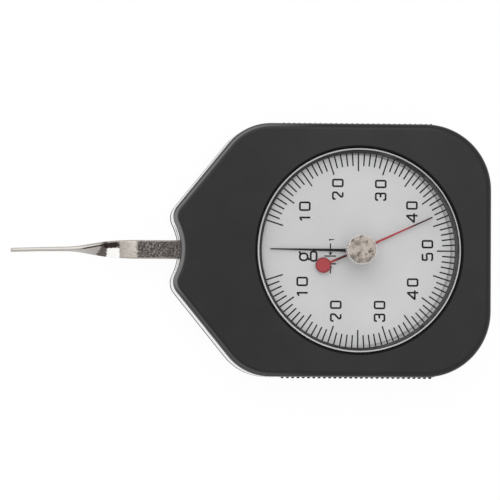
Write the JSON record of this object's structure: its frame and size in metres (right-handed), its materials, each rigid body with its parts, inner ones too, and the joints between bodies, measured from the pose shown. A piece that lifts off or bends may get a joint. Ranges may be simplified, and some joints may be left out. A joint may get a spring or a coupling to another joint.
{
  "type": "dial tension gauge",
  "caption": "Hand-held dial force gauge with a twisted feeler lever, ribbed metal frame between dark covers, clear crystal, pointer, maximum pointer and knurled reset knob.",
  "frame": {"origin": "the dial's axis where it meets the flat back face", "axes": "+Z along the dial's axis towards the reader, -X towards the tip of the lever, +Y to the side of the case, so that the gauge lies on its back"},
  "size_m": [0.1175, 0.0628, 0.0212],
  "materials": {
    "bright_frame": "bright plated die casting with grip ribs on both sides",
    "black_plastic": "satin black moulding with a fine spark-eroded grain",
    "zinc_steel": "zinc-plated screw",
    "clear_crystal": "clear polished acrylic",
    "nickel": "nickel-plated, knurled",
    "silver_dial": "fine silver-grey grain with printed black divisions",
    "brass": "machined brass",
    "bronze": "bronze, as rolled or reamed",
    "satin_steel": "turned steel",
    "lever_steel": "tumbled and plated steel strip",
    "black_pointer": "black paint",
    "red_pointer": "red paint"
  },
  "bodies": {
    "case": {"frame": "bright_frame", "front_cover": "black_plastic", "rear_cover": "black_plastic", "case_screw_1": "zinc_steel", "case_screw_2": "zinc_steel", "case_screw_3": "zinc_steel", "case_screw_4": "zinc_steel", "crystal": "clear_crystal", "crystal_bush": "nickel", "dial": "silver_dial", "main_plate": "brass", "bridge": "brass", "plate_screw_1": "zinc_steel", "plate_screw_2": "zinc_steel", "plate_screw_3": "zinc_steel", "pillar_1": "brass", "pillar_2": "brass", "pillar_3": "brass", "bridge_screw_1": "zinc_steel", "bridge_screw_2": "zinc_steel", "bridge_screw_3": "zinc_steel", "stop_pin_1": "satin_steel", "stop_pin_2": "satin_steel", "lever_bearing_lower": "bronze", "lever_bearing_upper": "bronze", "pinion_bearing_lower": "bronze", "pinion_bearing_upper": "bronze", "spiral_spring": "bronze", "spring_stud": "brass"},
    "feeler": {"lever": "lever_steel", "lever_arbor": "satin_steel", "toothed_sector": "brass", "lever_collar": "brass", "lever_rivet_1": "satin_steel", "lever_rivet_2": "satin_steel", "counterweight": "brass"},
    "reading_pointer": {"pinion_arbor": "satin_steel", "spring_collet": "brass", "pointer": "black_pointer"},
    "maximum_pointer": {"max_pointer": "red_pointer", "reset_spindle": "satin_steel", "friction_washer": "bronze", "reset_knob": "nickel"}
  },
  "joints": [
    {"name": "lever_swing", "type": "hinge", "parent": "case", "child": "feeler", "pos_m": [-0.033, 0, 0.00755], "axis": [0, 0, 1], "range_deg": [-15, 15], "stiffness_Nm_per_rad": 0.097},
    {"name": "pointer_turn", "type": "hinge", "parent": "case", "child": "reading_pointer", "pos_m": [0, 0, 0.0115], "axis": [0, 0, 1], "range_deg": [-181, 181]},
    {"name": "reset_turn", "type": "hinge", "parent": "case", "child": "maximum_pointer", "pos_m": [0, 0, 0.0125], "axis": [0, 0, 1], "range_deg": [-198, 151]}
  ],
  "couplings": [
    {"joint": "pointer_turn", "follows": "lever_swing", "ratio": -12}
  ]
}
